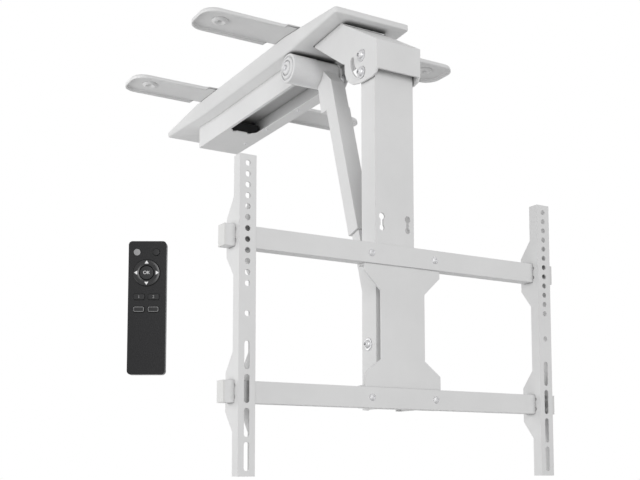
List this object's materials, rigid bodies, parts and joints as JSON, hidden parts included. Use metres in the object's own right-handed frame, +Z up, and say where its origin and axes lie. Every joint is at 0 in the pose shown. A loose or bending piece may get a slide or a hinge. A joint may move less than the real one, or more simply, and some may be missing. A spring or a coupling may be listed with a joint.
{
  "type": "motorized tv ceiling mount",
  "caption": "Motorized flip-down ceiling mount: tray and straps, hinged mast with screen rails, linear actuator strut and a remote control.",
  "frame": {"origin": "centre of the four ceiling screw holes, on the ceiling plane", "axes": "+Z up into the ceiling, -Y the side the screen faces when folded down, +X to the right of someone facing the screen"},
  "size_m": [0.793, 1, 0.732],
  "materials": {
    "frame_white": "fine-textured white powder coat",
    "bolt_zinc": "zinc plated",
    "motor_grey": "smooth light grey",
    "nylon": "moulded nylon",
    "black_plastic": "satin black",
    "key_rubber": "silicone rubber",
    "key_grey": "silicone rubber"
  },
  "bodies": {
    "root": {"tray": "frame_white", "front_strap": "frame_white", "rear_strap": "frame_white", "strap_rivets": "bolt_zinc", "actuator_channel": "frame_white", "channel_screws": "bolt_zinc", "channel_end_plate": "frame_white", "power_inlet": "black_plastic", "control_box": "black_plastic", "hinge_bracket": "frame_white", "bracket_bolts": "bolt_zinc", "pivot_bolt": "bolt_zinc", "pivot_washers": "bolt_zinc", "pivot_spacers": "nylon", "remote_case": "black_plastic", "remote_back": "black_plastic"},
    "mast": {"mast": "frame_white", "screen_plate": "frame_white", "upper_bar": "frame_white", "lower_bar": "frame_white", "bar_bolts": "bolt_zinc", "bar_nuts": "bolt_zinc", "bar_end_caps": "nylon", "guide_bolts": "bolt_zinc", "guide_washers": "bolt_zinc", "strut_pins": "bolt_zinc", "side_bolts": "bolt_zinc"},
    "left_rail": {"left_rail": "frame_white", "left_rail_screws": "bolt_zinc"},
    "right_rail": {"right_rail": "frame_white", "right_rail_screws": "bolt_zinc"},
    "actuator": {"gearbox": "motor_grey", "gearbox_cover": "frame_white", "motor": "motor_grey", "motor_cap": "motor_grey", "trunnion_pin": "bolt_zinc", "strut_tube": "frame_white", "tube_bush": "nylon"},
    "rod": {"strut_rod": "frame_white", "rod_end": "bolt_zinc"},
    "power_key": {"power_key": "key_grey"},
    "light_key": {"light_key": "key_rubber"},
    "ring_key": {"ring_key": "key_rubber"},
    "ok_key": {"ok_key": "key_rubber"},
    "number_key_1": {"number_key_1": "key_rubber"},
    "number_key_2": {"number_key_2": "key_rubber"},
    "memory_key_1": {"memory_key_1": "key_rubber"},
    "memory_key_2": {"memory_key_2": "key_rubber"}
  },
  "joints": [
    {"name": "fold", "type": "hinge", "parent": "root", "child": "mast", "pos_m": [0, -0.323, -0.087], "axis": [1, 0, 0], "range_deg": [0, 90]},
    {"name": "actuator_swing", "type": "hinge", "parent": "root", "child": "actuator", "pos_m": [0, -0.136, -0.047], "axis": [1, 0, 0], "range_deg": [0, 102.77]},
    {"name": "rod_slide", "type": "slide", "parent": "actuator", "child": "rod", "axis": [0, 0.2891, 0.9573], "range_m": [0, 0.25778]},
    {"name": "left_rail_shift", "type": "slide", "parent": "mast", "child": "left_rail", "axis": [1, 0, 0], "range_m": [-0.014, 0.165]},
    {"name": "right_rail_shift", "type": "slide", "parent": "mast", "child": "right_rail", "axis": [1, 0, 0], "range_m": [-0.165, 0.014]},
    {"name": "power_key_press", "type": "slide", "parent": "root", "child": "power_key", "axis": [0.5036, 0.8639, 0], "range_m": [0, 0.0008], "stiffness_N_per_m": 900, "springref_m": -0.0005},
    {"name": "light_key_press", "type": "slide", "parent": "root", "child": "light_key", "axis": [0.5036, 0.8639, 0], "range_m": [0, 0.0008], "stiffness_N_per_m": 900, "springref_m": -0.0005},
    {"name": "ring_key_press", "type": "slide", "parent": "root", "child": "ring_key", "axis": [0.5036, 0.8639, 0], "range_m": [0, 0.0008], "stiffness_N_per_m": 900, "springref_m": -0.0005},
    {"name": "ok_key_press", "type": "slide", "parent": "root", "child": "ok_key", "axis": [0.5036, 0.8639, 0], "range_m": [0, 0.0008], "stiffness_N_per_m": 900, "springref_m": -0.0005},
    {"name": "number_key_1_press", "type": "slide", "parent": "root", "child": "number_key_1", "axis": [0.5036, 0.8639, 0], "range_m": [0, 0.0008], "stiffness_N_per_m": 900, "springref_m": -0.0005},
    {"name": "number_key_2_press", "type": "slide", "parent": "root", "child": "number_key_2", "axis": [0.5036, 0.8639, 0], "range_m": [0, 0.0008], "stiffness_N_per_m": 900, "springref_m": -0.0005},
    {"name": "memory_key_1_press", "type": "slide", "parent": "root", "child": "memory_key_1", "axis": [0.5036, 0.8639, 0], "range_m": [0, 0.0008], "stiffness_N_per_m": 900, "springref_m": -0.0005},
    {"name": "memory_key_2_press", "type": "slide", "parent": "root", "child": "memory_key_2", "axis": [0.5036, 0.8639, 0], "range_m": [0, 0.0008], "stiffness_N_per_m": 900, "springref_m": -0.0005}
  ],
  "couplings": [
    {"joint": "actuator_swing", "follows": "fold", "ratio": 1.1414},
    {"joint": "rod_slide", "follows": "fold", "m_per_rad": 0.16404}
  ]
}
